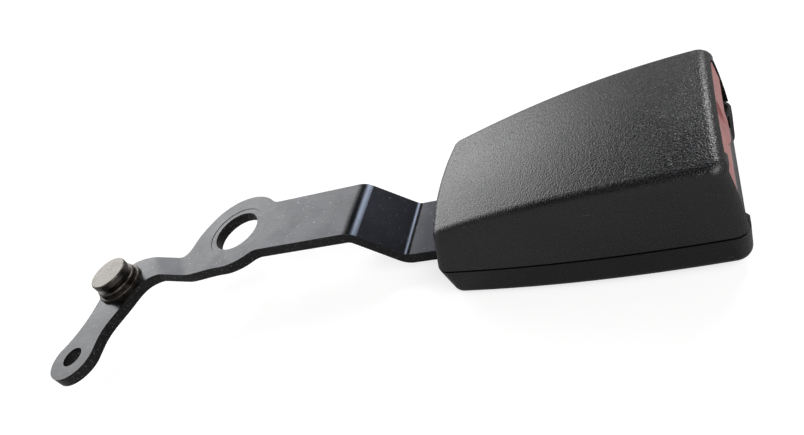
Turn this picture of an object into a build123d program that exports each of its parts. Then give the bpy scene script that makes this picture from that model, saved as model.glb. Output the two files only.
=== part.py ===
"""Seat belt buckle with a press-button head on a joggled anchor strap.

Frame: the origin is the centre of the anchor hole on the strap's top face, +X runs
along the strap to the mouth, +Z is up through the button side. All sizes are in mm.

The head is drawn in its own coordinates and then placed: its origin is the middle of
the head's rear edge, level with the strap's lower flat, on which the frame is riveted.
"""
from build123d import *
from math import cos, radians, sin, tan
import os

# --------------------------------------------------------------- driving dimensions
# Anchor strap, one blanked and bent piece of sheet steel.
STRAP_THICK = 3.0
STRAP_WIDTH = 16.9
EYE_RADIUS = 12.6
ANCHOR_BORE = 13.0
JOGGLE_START = 38.6
JOGGLE_DROP = 10.1
JOGGLE_ANGLE = 44.0
STRAP_PAST_RIVETS = 10.1
COIN_WIDTH = 1.6
COIN_DEPTH = 0.12
BEND_INSIDE = 2.0
EYE_BLEND = 4.0

# Side arm of the strap, with its tail hole and stud.
ARM_RISE = 2.0
ARM_BEND_AT = 16.9
ARM_BEND_RUN = 6.2
ARM_BEND_TURN = 220.5
TAIL_CENTRE = (-34.4, -38.0)
TAIL_RADIUS = 6.6
TAIL_BORE = 5.5
STUD_CENTRE = (-32.8, -15.1)
STUD_SHANK = 5.0
STUD_NECK = 7.8
STUD_HEAD = 10.6
STUD_HEAD_THICK = 2.0
STUD_NECK_HIGH = 0.9
STUD_UPSET = 0.5
COLLAR_DIAMETER = 11.4
COLLAR_HIGH = 1.5
WASHER_DIAMETER = 12.8
WASHER_THICK = 0.9

# Head shell: plan at the parting line, lean of the faces above it, wall sizes.
HEAD_SETBACK = 10.5
HEAD_LENGTH = 61.4
REAR_WIDTH = 36.8
MIDDLE_WIDTH = 40.2
FRONT_WIDTH = 38.6
REAR_BOW = 1.4
LEAN_ABOVE_ROOF = 2.25
BROW_HEIGHT = 8.2
BROW_LEAN = 0.75
FRONT_LEAN = 2.5
REAR_LEAN = 3.5
REAR_SIDE_LEAN = 7.9
MIDDLE_SIDE_LEAN = 4.2
FRONT_SIDE_LEAN = 1.5
REAR_CORNER = 2.6
FRONT_CORNER = 3.2
PARTING_HEIGHT = 3.5
PARTING_GROOVE = 0.5
REAR_HEADROOM = 5.3
MIDDLE_HEADROOM = 4.2
FRONT_HEADROOM = 6.2
ROOF_START = 2.4
ROOF_END = 3.0
ROOF_CROWN = 150.0
ROOF_EDGE = 2.5
UPPER_WALL = 1.8
MOUTH_WALL = 1.0
MOUTH_RELIEF = 3.0
UNDER_DEPTH = 5.5
UNDER_RISE = 1.0
UNDER_TAPER = 0.8
UNDER_EDGE = 2.5
LOWER_WALL = 2.2
FLOOR_THICK = 2.0
LIP_THICK = 0.8
LIP_HEIGHT = 1.3
MOUTH_SETBACK = 0.7
MOUTH_SIDE_ROOM = 1.0
SILL_HEIGHT = 1.5
POST_RADIUS = 1.0
SOCKET_WALL = 1.1
FRAME_RIB_SETBACK = 8.7
FRAME_RIB_LENGTH = 2.0
FLOOR_RIB_INNER = 10.6
FLOOR_RIB_THICK = 1.2
PAD_LENGTH = 6.0
PAD_END_GAP = 0.5

# Steel frame, latch and lock bar, from the rear towards the mouth.
FRAME_THICK = 2.0
FRAME_WALL = 1.8
FRAME_REAR = 4.2
FRAME_FOOT = 7.2
TONGUE_PATH = 24.6
WALL_ABOVE_BAR = 2.5
WALL_AHEAD_OF_PLATE = 0.5
PATH_UNDER_LATCH = 3.2
MOUTH_HEIGHT = 4.5
SILL_TAB_INSET = 0.4
SILL_TAB_REACH = 2.1
SILL_TAB_LEAD = 0.5
GUIDE_LENGTH = 4.6
GUIDE_CHEEK = 2.4
RIVET_AT = 7.9
RIVET_SPACING = 9.6
RIVET_SHANK = 4.2
RIVET_HEAD = 6.2
RIVET_HEAD_HIGH = 1.3
RIVET_SINK = 1.0
PIVOT_AT = 12.4
PIVOT_HEIGHT = 7.0
PIN_DIAMETER = 3.5
LUG_RADIUS = 3.0
LUG_THICK = 2.4
CLIP_DIAMETER = 5.6
CLIP_THICK = 0.6
CLIP_GROOVE = 0.4
LATCH_THICK = 2.5
NOSE_WIDTH = 12.0
NOSE_LENGTH = 4.4
NOSE_DROP = 4.3
LATCH_TO_PLATE = 1.8
EAR_LENGTH = 3.0
EAR_THICK = 1.6
EAR_AHEAD_OF_BAR = 2.0
LATCH_SWING = 8.8
LOCK_BAR_LENGTH = 3.0
LOCK_BAR_THICK = 1.8
LOCK_BAR_REACH = 11.0
BAR_PAST_FRAME = 0.4
WEDGE_HIGH = 1.3
WEDGE_LAND = 1.6

# Release button and ejector.
BUTTON_TRAVEL = 5.5
BUTTON_WALL = 1.6
BUTTON_SETBACK = 1.7
FACE_CREASE = 4.6
FACE_LEAN = 1.35
SEAT_THICK = 2.4
ARM_WALL = 2.4
ARM_UNDER_EAR = 1.5
THUMB_RISE = 9.9
THUMB_SPHERE = 9.0
THUMB_SETBACK = 1.2
THUMB_RADIUS = 6.4
THUMB_LIP_REACH = 1.0
THUMB_LIP_RISE = 3.0
THUMB_LIP_DRAFT = 0.5
EJECTOR_TRAVEL = 8.0
EJECTOR_WIDTH = 17.6
KEEL_WIDTH = 4.4
EJECTOR_POCKET = 4.2
SLOT_BEHIND_RIVETS = 6.1
SPRING_ROOM = 5.0
SPRING_TAB_THICK = 1.6

# Springs: outside diameter, wire and number of turns.
BUTTON_SPRING = 4.8
BUTTON_SPRING_WIRE = 0.55
BUTTON_SPRING_TURNS = 6
BUTTON_SPRING_SPACING = 10.8
LATCH_SPRING = 4.6
LATCH_SPRING_WIRE = 0.5
LATCH_SPRING_TURNS = 4
LATCH_SPRING_SETBACK = 7.4
LATCH_SPRING_HIGH = 6.9
EJECTOR_SPRING = 4.0
EJECTOR_SPRING_WIRE = 0.5
EJECTOR_SPRING_TURNS = 8
SPRING_PLATE_THICK = 1.6
SPRING_PEG = 3.0
SHORT_PEG = 1.2

# Clearances.
FIT = 0.03
RUNNING = 0.05
SLIDE = 0.3
SHELL_GAP = 0.8
SPRING_GAP = 0.4
SLOT_GAP = 0.7

# ------------------------------------------------------------------- derived places
STRAP_HALF = STRAP_WIDTH / 2
JOGGLE_END = JOGGLE_START + JOGGLE_DROP / tan(radians(JOGGLE_ANGLE))
HEAD_PLACE = Pos(JOGGLE_END + HEAD_SETBACK, 0, -JOGGLE_DROP)
STRAP_IN_HEAD = RIVET_AT + STRAP_PAST_RIVETS

# Backwards from the mouth: guide, frame, spring plate, latch nose and ejector.
GUIDE_FRONT = HEAD_LENGTH - LOWER_WALL - UNDER_TAPER / 2 - SLIDE
FRAME_FRONT = GUIDE_FRONT - GUIDE_LENGTH
FRAME_LENGTH = FRAME_FRONT - FRAME_REAR
FRAME_WALL_END = FRAME_FRONT - FRAME_FOOT
PLATE_FRONT = FRAME_WALL_END - WALL_AHEAD_OF_PLATE
PLATE_REAR = PLATE_FRONT - SPRING_PLATE_THICK
LATCH_FRONT = PLATE_REAR - LATCH_TO_PLATE
NOSE_REAR = LATCH_FRONT - NOSE_LENGTH
EJECTOR_FRONT = NOSE_REAR - 2 * SLIDE
SLOT_REAR = RIVET_AT + SLOT_BEHIND_RIVETS
EJECTOR_REAR = SLOT_REAR + SPRING_ROOM + EJECTOR_TRAVEL
BAR_REAR = PIVOT_AT + LOCK_BAR_REACH
BAR_FRONT = BAR_REAR + LOCK_BAR_LENGTH
EAR_REAR = BAR_FRONT + EAR_AHEAD_OF_BAR
EAR_FRONT = EAR_REAR + EAR_LENGTH
BUTTON_REAR = FRAME_WALL_END + BUTTON_TRAVEL + 2 * SLIDE
BUTTON_FACE = HEAD_LENGTH - BUTTON_SETBACK
BUTTON_SEAT = BUTTON_FACE - SEAT_THICK
SILL_TAB_END = GUIDE_FRONT + SILL_TAB_REACH

# Across: the tongue's path, then the frame, the button's arms and the shell.
PATH_HALF = TONGUE_PATH / 2
FRAME_HALF = PATH_HALF + FRAME_WALL
PIN_END = FRAME_HALF + CLIP_THICK + 2 * SLIDE
BAR_HALF = FRAME_HALF + BAR_PAST_FRAME
ARM_OUTER = PATH_HALF - SLIDE
ARM_INNER = ARM_OUTER - ARM_WALL
LATCH_HALF = ARM_INNER - SPRING_GAP
MOUTH_HALF = PATH_HALF + MOUTH_SIDE_ROOM
SLOT_HALF = KEEL_WIDTH / 2 + SLIDE
NOSE_WINDOW_HALF = NOSE_WIDTH / 2 + 2 * SLIDE
SHELL_HALVES = (REAR_WIDTH / 2, MIDDLE_WIDTH / 2, FRONT_WIDTH / 2)
SIDE_LEANS = (REAR_SIDE_LEAN, MIDDLE_SIDE_LEAN, FRONT_SIDE_LEAN)
SHELL_SPAN = (-2 * FRAME_HALF, 2 * FRAME_HALF)
MOUTH_SPAN = (-MOUTH_HALF, MOUTH_HALF)
REAR_POST = (FRAME_REAR + 2.8 * POST_RADIUS, FRAME_HALF + POST_RADIUS + 0.1)
FRONT_POST = (FRAME_WALL_END - 4.7 * POST_RADIUS, FRAME_HALF + 1.9 * POST_RADIUS)

# Upwards: frame base, latch, lock bar, button and roof.
BASE_TOP = FRAME_THICK
LATCH_BOTTOM = BASE_TOP + PATH_UNDER_LATCH
LATCH_TOP = LATCH_BOTTOM + LATCH_THICK
SWING_PER_MM = radians(LATCH_SWING) / BUTTON_TRAVEL
BUTTON_BOTTOM = BASE_TOP + MOUTH_HEIGHT
ARM_LOW = BUTTON_BOTTOM + ARM_UNDER_EAR
EAR_BOTTOM = ARM_LOW + SLIDE
RAMP_SLOPE = SWING_PER_MM * (EAR_FRONT - PIVOT_AT)
ARM_HIGH = ARM_LOW + RAMP_SLOPE * BUTTON_TRAVEL
BAR_BOTTOM = LATCH_TOP + WEDGE_HIGH + SLIDE
BAR_TOP = BAR_BOTTOM + LOCK_BAR_THICK
WALL_HIGH = BAR_TOP + WALL_ABOVE_BAR
PLATE_LEDGE = ARM_HIGH + 2 * SLIDE
EJECTOR_BOTTOM = BASE_TOP + SLIDE
EJECTOR_TOP = LATCH_BOTTOM - SLIDE
REAR_ROOF = PIVOT_HEIGHT + REAR_HEADROOM
MIDDLE_ROOF = WALL_HIGH + MIDDLE_HEADROOM
FRONT_ROOF = WALL_HIGH + FRONT_HEADROOM
BUTTON_TOP = FRONT_ROOF - SLIDE
UPPER_EDGE = PARTING_HEIGHT + PARTING_GROOVE / 2
LOWER_EDGE = PARTING_HEIGHT - PARTING_GROOVE / 2
LEAN_HEIGHT = FRONT_ROOF + LEAN_ABOVE_ROOF - UPPER_EDGE
FLOOR_TOP = FLOOR_THICK - UNDER_DEPTH
TAB_BOTTOM = 2 * SLIDE
POST_BOTTOM = FLOOR_TOP + 2 * SLIDE
BUTTON_INSET = UPPER_WALL + SHELL_GAP
THUMB_HEIGHT = BUTTON_BOTTOM + THUMB_RISE

# Springs and their pegs.
CLIP_BORE = PIN_DIAMETER / 2 - CLIP_GROOVE
BUTTON_SPRING_Z = BUTTON_BOTTOM + BUTTON_WALL + BUTTON_SPRING / 2 + SPRING_GAP
BUTTON_SPRING_PEG = BUTTON_SPRING / 2 - BUTTON_SPRING_WIRE - SLIDE
EJECTOR_SPRING_AXIS = EJECTOR_SPRING / 2 + SLOT_GAP
EJECTOR_SPRING_PEG = EJECTOR_SPRING / 2 - EJECTOR_SPRING_WIRE - SLIDE
LATCH_SPRING_PEG = LATCH_SPRING / 2 - LATCH_SPRING_WIRE - SLIDE
LATCH_SPRING_X = LATCH_FRONT - LATCH_SPRING_SETBACK
LATCH_SPRING_TOP = LATCH_TOP + LATCH_SPRING_HIGH


# -------------------------------------------------------------------- small helpers
def block(x0, x1, y0, y1, z0, z1):
    """Rectangular block between two opposite corners."""
    return Pos((x0 + x1) / 2, (y0 + y1) / 2, (z0 + z1) / 2) * Box(x1 - x0, y1 - y0, z1 - z0)


def side_profile(points, y0, y1):
    """Extrude an outline drawn in the XZ plane from y0 to y1."""
    outline = make_face(Polyline(*[(x, 0, z) for x, z in points], close=True))
    return Pos(0, y0, 0) * extrude(outline, amount=y1 - y0, dir=(0, 1, 0))


def both_sides(part):
    """The part and its mirror image in the XZ plane, as one shape."""
    return part + mirror(part, about=Plane.XZ)


def upright(x, y, z0, z1, radius):
    """Round post standing from z0 to z1."""
    return Pos(x, y, (z0 + z1) / 2) * Cylinder(radius, z1 - z0)


def along_x(x0, x1, y, z, radius):
    """Round bar running from x0 to x1."""
    return Pos((x0 + x1) / 2, y, z) * Rot(0, 90, 0) * Cylinder(radius, x1 - x0)


def along_y(x, y0, y1, z, radius):
    """Round bar running from y0 to y1."""
    return Pos(x, (y0 + y1) / 2, z) * Rot(90, 0, 0) * Cylinder(radius, y1 - y0)


def coil_spring(outside, wire, turns, length):
    """Compression spring standing on the XY plane, axis along Z."""
    climb = length - wire
    path = Pos(0, 0, wire / 2) * Helix(climb / turns, climb, (outside - wire) / 2)
    section = Plane(origin=path @ 0, z_dir=path % 0) * Circle(wire / 2)
    return sweep(section, path=path, is_frenet=True)


# --------------------------------------------------------------------- anchor strap
def strap_outline():
    """Plan of the eye, the strap's first run and the side arm with its tail."""
    eye = Circle(EYE_RADIUS)
    run = Pos(JOGGLE_START / 2, 0) * Rectangle(JOGGLE_START, STRAP_WIDTH)
    body = eye + run
    necks = [v for v in body.vertices() if 0 < v.X < EYE_RADIUS]
    body = fillet(necks, EYE_BLEND)

    tail = Vector(*TAIL_CENTRE)
    stud = Vector(*STUD_CENTRE)
    leave = Vector(cos(radians(151)), sin(radians(151))) * EYE_RADIUS
    rejoin = Vector(cos(radians(266)), sin(radians(266))) * EYE_RADIUS
    tail_left = tail + Vector(cos(radians(165)), sin(radians(165))) * TAIL_RADIUS
    tail_right = tail + Vector(cos(radians(12)), sin(radians(12))) * TAIL_RADIUS
    tail_end = tail + Vector(0, -TAIL_RADIUS)
    elbow = stud + Vector(-5.4, -3.9)
    arm_far = Vector(-17.1, -6.7)
    arm_far_end = Vector(-27.0, -6.6)
    arm_near = Vector(-19.6, -13.6)
    far_side = [
        Spline(leave, Vector(-13.7, -0.9), arm_far, tangents=[(-0.48, -0.88), (-1, 0)]),
        Line(arm_far, arm_far_end),
        Spline(arm_far_end, stud + Vector(-1.6, 6.4), stud + Vector(-6.1, 1.6), elbow,
               tangents=[(-1, 0.02), (0.1, -1)]),
        Spline(elbow, tail + Vector(-3.8, 9.4), tail_left, tangents=[(0.1, -1), (-0.5, -0.9)]),
    ]
    near_side = [
        ThreePointArc(tail_left, tail_end, tail_right),
        Spline(tail_right, tail + Vector(5.6, 7.2), stud + Vector(6.4, -6.3), arm_near,
               tangents=[(-0.2, 1), (1, 0.15)]),
        Spline(arm_near, Vector(-9.0, -13.4), rejoin, tangents=[(1, 0), (1, 0.03)]),
        Line(rejoin, leave),
    ]
    arm = make_face(Curve() + far_side + near_side)
    return body + arm


def arm_sheet():
    """Sheet that is flat under the eye and steps up by ARM_RISE across the arm."""
    reach = 80.0
    near = ARM_BEND_AT
    far = near + ARM_BEND_RUN
    top = [(-reach, 0), (near, 0), (far, ARM_RISE), (reach, ARM_RISE)]
    upper = FilletPolyline(*[(s, 0, z) for s, z in top], radius=BEND_INSIDE + STRAP_THICK)
    lower = Pos(0, 0, -STRAP_THICK) * upper
    ends = [Line(upper @ 0, lower @ 0), Line(upper @ 1, lower @ 1)]
    profile = make_face(Curve() + [upper, lower] + ends)
    sheet = extrude(profile, amount=reach, dir=(0, 1, 0), both=True)
    return Rot(0, 0, ARM_BEND_TURN) * sheet


def joggled_run():
    """The strap from its first run through the joggle to the flat inside the head."""
    start = EYE_RADIUS + EYE_BLEND
    end = JOGGLE_END + HEAD_SETBACK + STRAP_IN_HEAD
    thick = STRAP_THICK
    inside = BEND_INSIDE
    shift = thick * tan(radians(JOGGLE_ANGLE / 2))
    top = [(start, 0), (JOGGLE_START, 0), (JOGGLE_END, -JOGGLE_DROP), (end, -JOGGLE_DROP)]
    under = [(start, -thick), (JOGGLE_START - shift, -thick),
             (JOGGLE_END - shift, -JOGGLE_DROP - thick), (end, -JOGGLE_DROP - thick)]
    upper = FilletPolyline(*[(x, 0, z) for x, z in top], radius=[inside + thick, inside])
    lower = FilletPolyline(*[(x, 0, z) for x, z in under], radius=[inside, inside + thick])
    ends = [Line(upper @ 0, lower @ 0), Line(upper @ 1, lower @ 1)]
    profile = make_face(Curve() + [upper, lower] + ends)
    run = extrude(profile, amount=STRAP_HALF, dir=(0, 1, 0), both=True)
    corners = run.edges().filter_by(Axis.Z).group_by(Axis.X)[-1]
    return fillet(corners, 2.5)


def anchor_strap():
    """Eye, arm, tail and joggled strap with all its holes."""
    plate = extrude(strap_outline(), amount=JOGGLE_DROP, both=True) & arm_sheet()
    split_x = EYE_RADIUS + EYE_BLEND
    plate -= block(split_x, JOGGLE_END, -STRAP_WIDTH, STRAP_WIDTH, -JOGGLE_DROP, JOGGLE_DROP)
    strap = plate + joggled_run()
    strap -= upright(0, 0, -STRAP_THICK, STRAP_THICK, ANCHOR_BORE / 2)
    coin = upright(0, 0, -COIN_DEPTH, COIN_DEPTH, ANCHOR_BORE / 2 + COIN_WIDTH)
    strap -= coin
    strap -= upright(*TAIL_CENTRE, -STRAP_THICK, 2 * STRAP_THICK, TAIL_BORE / 2)
    strap -= upright(*STUD_CENTRE, -STRAP_THICK, 2 * STRAP_THICK, STUD_SHANK / 2 + FIT)
    for y in (-RIVET_SPACING / 2, RIVET_SPACING / 2):
        strap -= HEAD_PLACE * rivet_cut(y)
    return strap


# ----------------------------------------------------------------------------- stud
def anchor_stud():
    """Shouldered stud: round head, narrow neck and a shank riveted under the arm."""
    seat = ARM_RISE + WASHER_THICK + COLLAR_HIGH
    head_bottom = seat + STUD_NECK_HIGH
    head = upright(0, 0, head_bottom, head_bottom + STUD_HEAD_THICK, STUD_HEAD / 2)
    head = fillet(head.edges().group_by(Axis.Z)[-1], 0.35)
    head = chamfer(head.edges().group_by(Axis.Z)[0], 0.3)
    neck = upright(0, 0, seat, head_bottom, STUD_NECK / 2)
    under_arm = ARM_RISE - STRAP_THICK
    shank = upright(0, 0, under_arm, seat, STUD_SHANK / 2)
    upset = upright(0, 0, under_arm - STUD_UPSET, under_arm, STUD_SHANK / 2 + STUD_UPSET)
    upset = chamfer(upset.edges().group_by(Axis.Z)[0], STUD_UPSET / 2)
    return Pos(*STUD_CENTRE) * (head + neck + shank + upset)


def stud_collar():
    """Grooved collar under the stud's neck."""
    bottom = ARM_RISE + WASHER_THICK
    radius = COLLAR_DIAMETER / 2
    ring = upright(0, 0, bottom, bottom + COLLAR_HIGH, radius)
    ring = fillet(ring.edges().group_by(Axis.Z)[-1], 0.4)
    groove = upright(0, 0, bottom + 0.5, bottom + 0.75, radius + 1)
    groove -= upright(0, 0, bottom + 0.5, bottom + 0.75, radius - 0.45)
    bore = upright(0, 0, bottom - 1, bottom + COLLAR_HIGH + 1, STUD_SHANK / 2 + FIT)
    return Pos(*STUD_CENTRE) * (ring - groove - bore)


def stud_washer():
    """Wide washer between the collar and the arm."""
    disc = upright(0, 0, ARM_RISE, ARM_RISE + WASHER_THICK, WASHER_DIAMETER / 2)
    disc = fillet(disc.edges().group_by(Axis.Z)[-1], 0.25)
    bore = upright(0, 0, ARM_RISE - 1, ARM_RISE + WASHER_THICK + 1, STUD_SHANK / 2 + FIT)
    return Pos(*STUD_CENTRE) * (disc - bore)


# ----------------------------------------------------------------------- head shell
def shell_outline(height, inset, rear, front, halves):
    """Closed plan at one height; halves are the half widths at rear, middle and front."""
    rear_half, middle_half, front_half = [half - inset for half in halves]
    rear_x = rear + inset
    corner_x = rear_x + REAR_BOW
    middle_x = (rear + front) / 2
    arcs = [
        ThreePointArc((corner_x, -rear_half), (rear_x, 0), (corner_x, rear_half)),
        ThreePointArc((corner_x, rear_half), (middle_x, middle_half), (front, front_half)),
        Line((front, front_half), (front, -front_half)),
        ThreePointArc((front, -front_half), (middle_x, -middle_half), (corner_x, -rear_half)),
    ]
    plan = make_face(Curve() + arcs)
    rear_points = plan.vertices().group_by(Axis.X)[0]
    plan = fillet(rear_points, max(REAR_CORNER - inset, 0.8))
    front_points = plan.vertices().group_by(Axis.X)[-1]
    plan = fillet(front_points, max(FRONT_CORNER - inset, 0.8))
    return Pos(0, 0, height) * plan


def upper_block(inset, stretch=0.0):
    """Solid inside of the upper shell, offset inwards by inset and longer by stretch."""
    heights = (0.0, BROW_HEIGHT, LEAN_HEIGHT)
    leans = (0.0, BROW_LEAN, FRONT_LEAN)
    plans = [leaning_outline(UPPER_EDGE + rise, inset, stretch - lean)
             for rise, lean in zip(heights, leans)]
    body = loft(plans) & roof(inset)
    ridge = body.faces().sort_by(Axis.Z)[-1]
    return fillet(ridge.edges(), max(ROOF_EDGE - inset, 0.8))


def roof(inset):
    """Everything under the roof: its long arc turned about an axis far below."""
    front_x = HEAD_LENGTH - ROOF_END
    middle_x = (ROOF_START + front_x) / 2
    points = ((ROOF_START, REAR_ROOF), (middle_x, MIDDLE_ROOF), (front_x, FRONT_ROOF))
    arc = ThreePointArc(*[(x, 0, z - inset) for x, z in points])
    rear_end = -HEAD_LENGTH / 4
    front_end = 1.5 * HEAD_LENGTH
    fall = (arc % 0).Z / (arc % 0).X * ((arc @ 0).X - rear_end)
    before = Line((rear_end, 0, (arc @ 0).Z - fall), arc @ 0)
    after = Line(arc @ 1, (front_end, 0, (arc @ 1).Z))
    depth = -2 * UNDER_DEPTH
    down = Polyline(after @ 1, (front_end, 0, depth), (rear_end, 0, depth), before @ 0)
    profile = make_face(Curve() + [before, arc, after, down])
    axis = Axis((0, 0, MIDDLE_ROOF - ROOF_CROWN), (1, 0, 0))
    half_turn = 12.0
    return revolve(profile.rotate(axis, -half_turn), axis, 2 * half_turn)


def lower_block(inset, floor):
    """Solid inside of the lower shell, offset inwards by inset and down to floor."""
    low_halves = [half - UNDER_TAPER for half in SHELL_HALVES]
    front = HEAD_LENGTH - inset
    low = shell_outline(-UNDER_DEPTH, inset, UNDER_TAPER, front - UNDER_TAPER / 2, low_halves)
    top = shell_outline(LOWER_EDGE, inset, 0, front, SHELL_HALVES)
    rise = UNDER_RISE if inset == 0 else 0.0
    reach = 2 * HEAD_LENGTH
    above = [(0, floor), (HEAD_LENGTH, floor + rise), (reach, floor + 2 * rise),
             (reach, LOWER_EDGE), (-reach, LOWER_EDGE), (-reach, floor)]
    body = loft([low, top]) & side_profile(above, -reach, reach)
    rim = body.faces().sort_by(Axis.Z)[0]
    return fillet(rim.edges(), UNDER_EDGE if inset == 0 else 0.8)


def rear_ring(inset, bottom, top):
    """Upright-walled plan of the shell at the parting line, offset inwards by inset."""
    plan = shell_outline(bottom, inset, 0, HEAD_LENGTH, SHELL_HALVES)
    return extrude(plan, amount=top - bottom)


def leaning_band(inset, bottom, top):
    """Plug that follows the lean of the upper walls, also below the parting line."""
    plans = [leaning_outline(height, inset) for height in (bottom, top)]
    return loft(plans)


def leaning_outline(height, inset, stretch=0.0):
    """Plan of the leaning walls at any height, longer at the front by stretch."""
    share = (height - UPPER_EDGE) / LEAN_HEIGHT
    halves = [half - share * lean for half, lean in zip(SHELL_HALVES, SIDE_LEANS)]
    return shell_outline(height, inset, share * REAR_LEAN, HEAD_LENGTH + stretch, halves)


def locating_posts(radius, bottom, top):
    """The four posts that line the two shells up, two behind the latch and two ahead."""
    posts = [upright(*place, bottom, top, radius) for place in (REAR_POST, FRONT_POST)]
    return both_sides(posts[0] + posts[1])


def upper_cover():
    """Roof and side walls, open under and at the mouth, with what it carries inside."""
    shell = upper_block(0) - upper_block(UPPER_WALL, stretch=2 * UPPER_WALL)
    relief = block(HEAD_LENGTH - MOUTH_RELIEF, 2 * HEAD_LENGTH, *MOUTH_SPAN, 0, 2 * FRONT_ROOF)
    shell -= upper_block(MOUTH_WALL, stretch=2 * UPPER_WALL) & relief
    tab_top = UPPER_EDGE + 0.4
    tab = rear_ring(0, TAB_BOTTOM, tab_top) - rear_ring(UPPER_WALL, TAB_BOTTOM, tab_top)
    tab &= block(-1, FRAME_REAR, -STRAP_HALF, STRAP_HALF, TAB_BOTTOM, tab_top)

    high = 2 * FRONT_ROOF
    posts = locating_posts(POST_RADIUS, POST_BOTTOM, high)
    rib_start = FRAME_WALL_END - FRAME_RIB_SETBACK
    rib_end = rib_start + FRAME_RIB_LENGTH
    rib = block(rib_start, rib_end, PATH_HALF + 0.2, FRAME_HALF - 0.2, WALL_HIGH, high)
    boss = upright(LATCH_SPRING_X, 0, LATCH_SPRING_TOP, high, LATCH_SPRING / 2 + 0.6)
    peg_bottom = LATCH_SPRING_TOP - SHORT_PEG
    peg = upright(LATCH_SPRING_X, 0, peg_bottom, LATCH_SPRING_TOP, LATCH_SPRING_PEG)
    inside = upper_block(UPPER_WALL / 2)
    inside += block(0, HEAD_LENGTH, *SHELL_SPAN, -UNDER_DEPTH, UPPER_EDGE)
    return (shell - frame_room()) + tab + ((posts + both_sides(rib) + boss) & inside) + peg


def lower_cover():
    """Tray under the frame: sill, horns, strap notch, locating lip, ribs and sockets."""
    tray = lower_block(0, -UNDER_DEPTH) - lower_block(LOWER_WALL, FLOOR_TOP)
    lip_inset = UPPER_WALL + 0.15
    lip_range = (LOWER_EDGE - 1.2, UPPER_EDGE + LIP_HEIGHT)
    lip = leaning_band(lip_inset, *lip_range) - leaning_band(lip_inset + LIP_THICK, *lip_range)
    lip -= block(FRAME_FRONT, 2 * HEAD_LENGTH, *SHELL_SPAN, 0, WALL_HIGH)
    lip -= locating_posts(POST_RADIUS + SLIDE, -UNDER_DEPTH, WALL_HIGH)

    root = FLOOR_TOP - 0.5
    rib_outer = FLOOR_RIB_INNER + FLOOR_RIB_THICK
    rib = block(FRAME_REAR + 2, FRAME_FRONT - 2, FLOOR_RIB_INNER, rib_outer, root, 0)
    sockets = locating_posts(POST_RADIUS + SOCKET_WALL, root, -SLIDE)
    cover = tray + lip + ((both_sides(rib) + sockets) & lower_block(LOWER_WALL / 2, -UNDER_DEPTH))
    cover -= locating_posts(POST_RADIUS + RUNNING, POST_BOTTOM - SLIDE, UPPER_EDGE)

    notch_half = STRAP_HALF + SLIDE
    notch_end = FRAME_REAR - 0.1
    notch = block(-1, notch_end, -notch_half, notch_half, -STRAP_THICK - SLIDE, WALL_HIGH)
    front = HEAD_LENGTH
    back = HEAD_LENGTH - MOUTH_SETBACK
    bay = [(back, -MOUTH_HALF), (back, MOUTH_HALF), (front + 0.5, MOUTH_HALF + 1.5),
           (front + 0.5, -MOUTH_HALF - 1.5)]
    setback = extrude(Pos(0, 0, -UNDER_DEPTH) * make_face(Polyline(*bay, close=True)), amount=20)
    sill_cut = block(front - 5, front + 1, -MOUTH_HALF, MOUTH_HALF, SILL_HEIGHT, WALL_HIGH)
    cover = cover - notch - setback - sill_cut - sill_tab(SLIDE)
    return cover - frame_room()


def frame_room():
    """Room in both covers for the frame's walls and the clips on the latch pin."""
    half = BAR_HALF + SLIDE
    walls = side_profile(frame_side(), -half, half)
    clip_end = PIN_END + SLIDE
    radius = CLIP_DIAMETER / 2 + SLIDE
    return walls + along_y(PIVOT_AT, -clip_end, clip_end, PIVOT_HEIGHT, radius)


def sill_tab(gap):
    """Front of the frame's base, which covers the sill, larger all round by gap."""
    half = PATH_HALF - SILL_TAB_INSET + gap
    return block(FRAME_FRONT - gap, SILL_TAB_END + gap, -half, half, -gap, BASE_TOP + gap)


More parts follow.
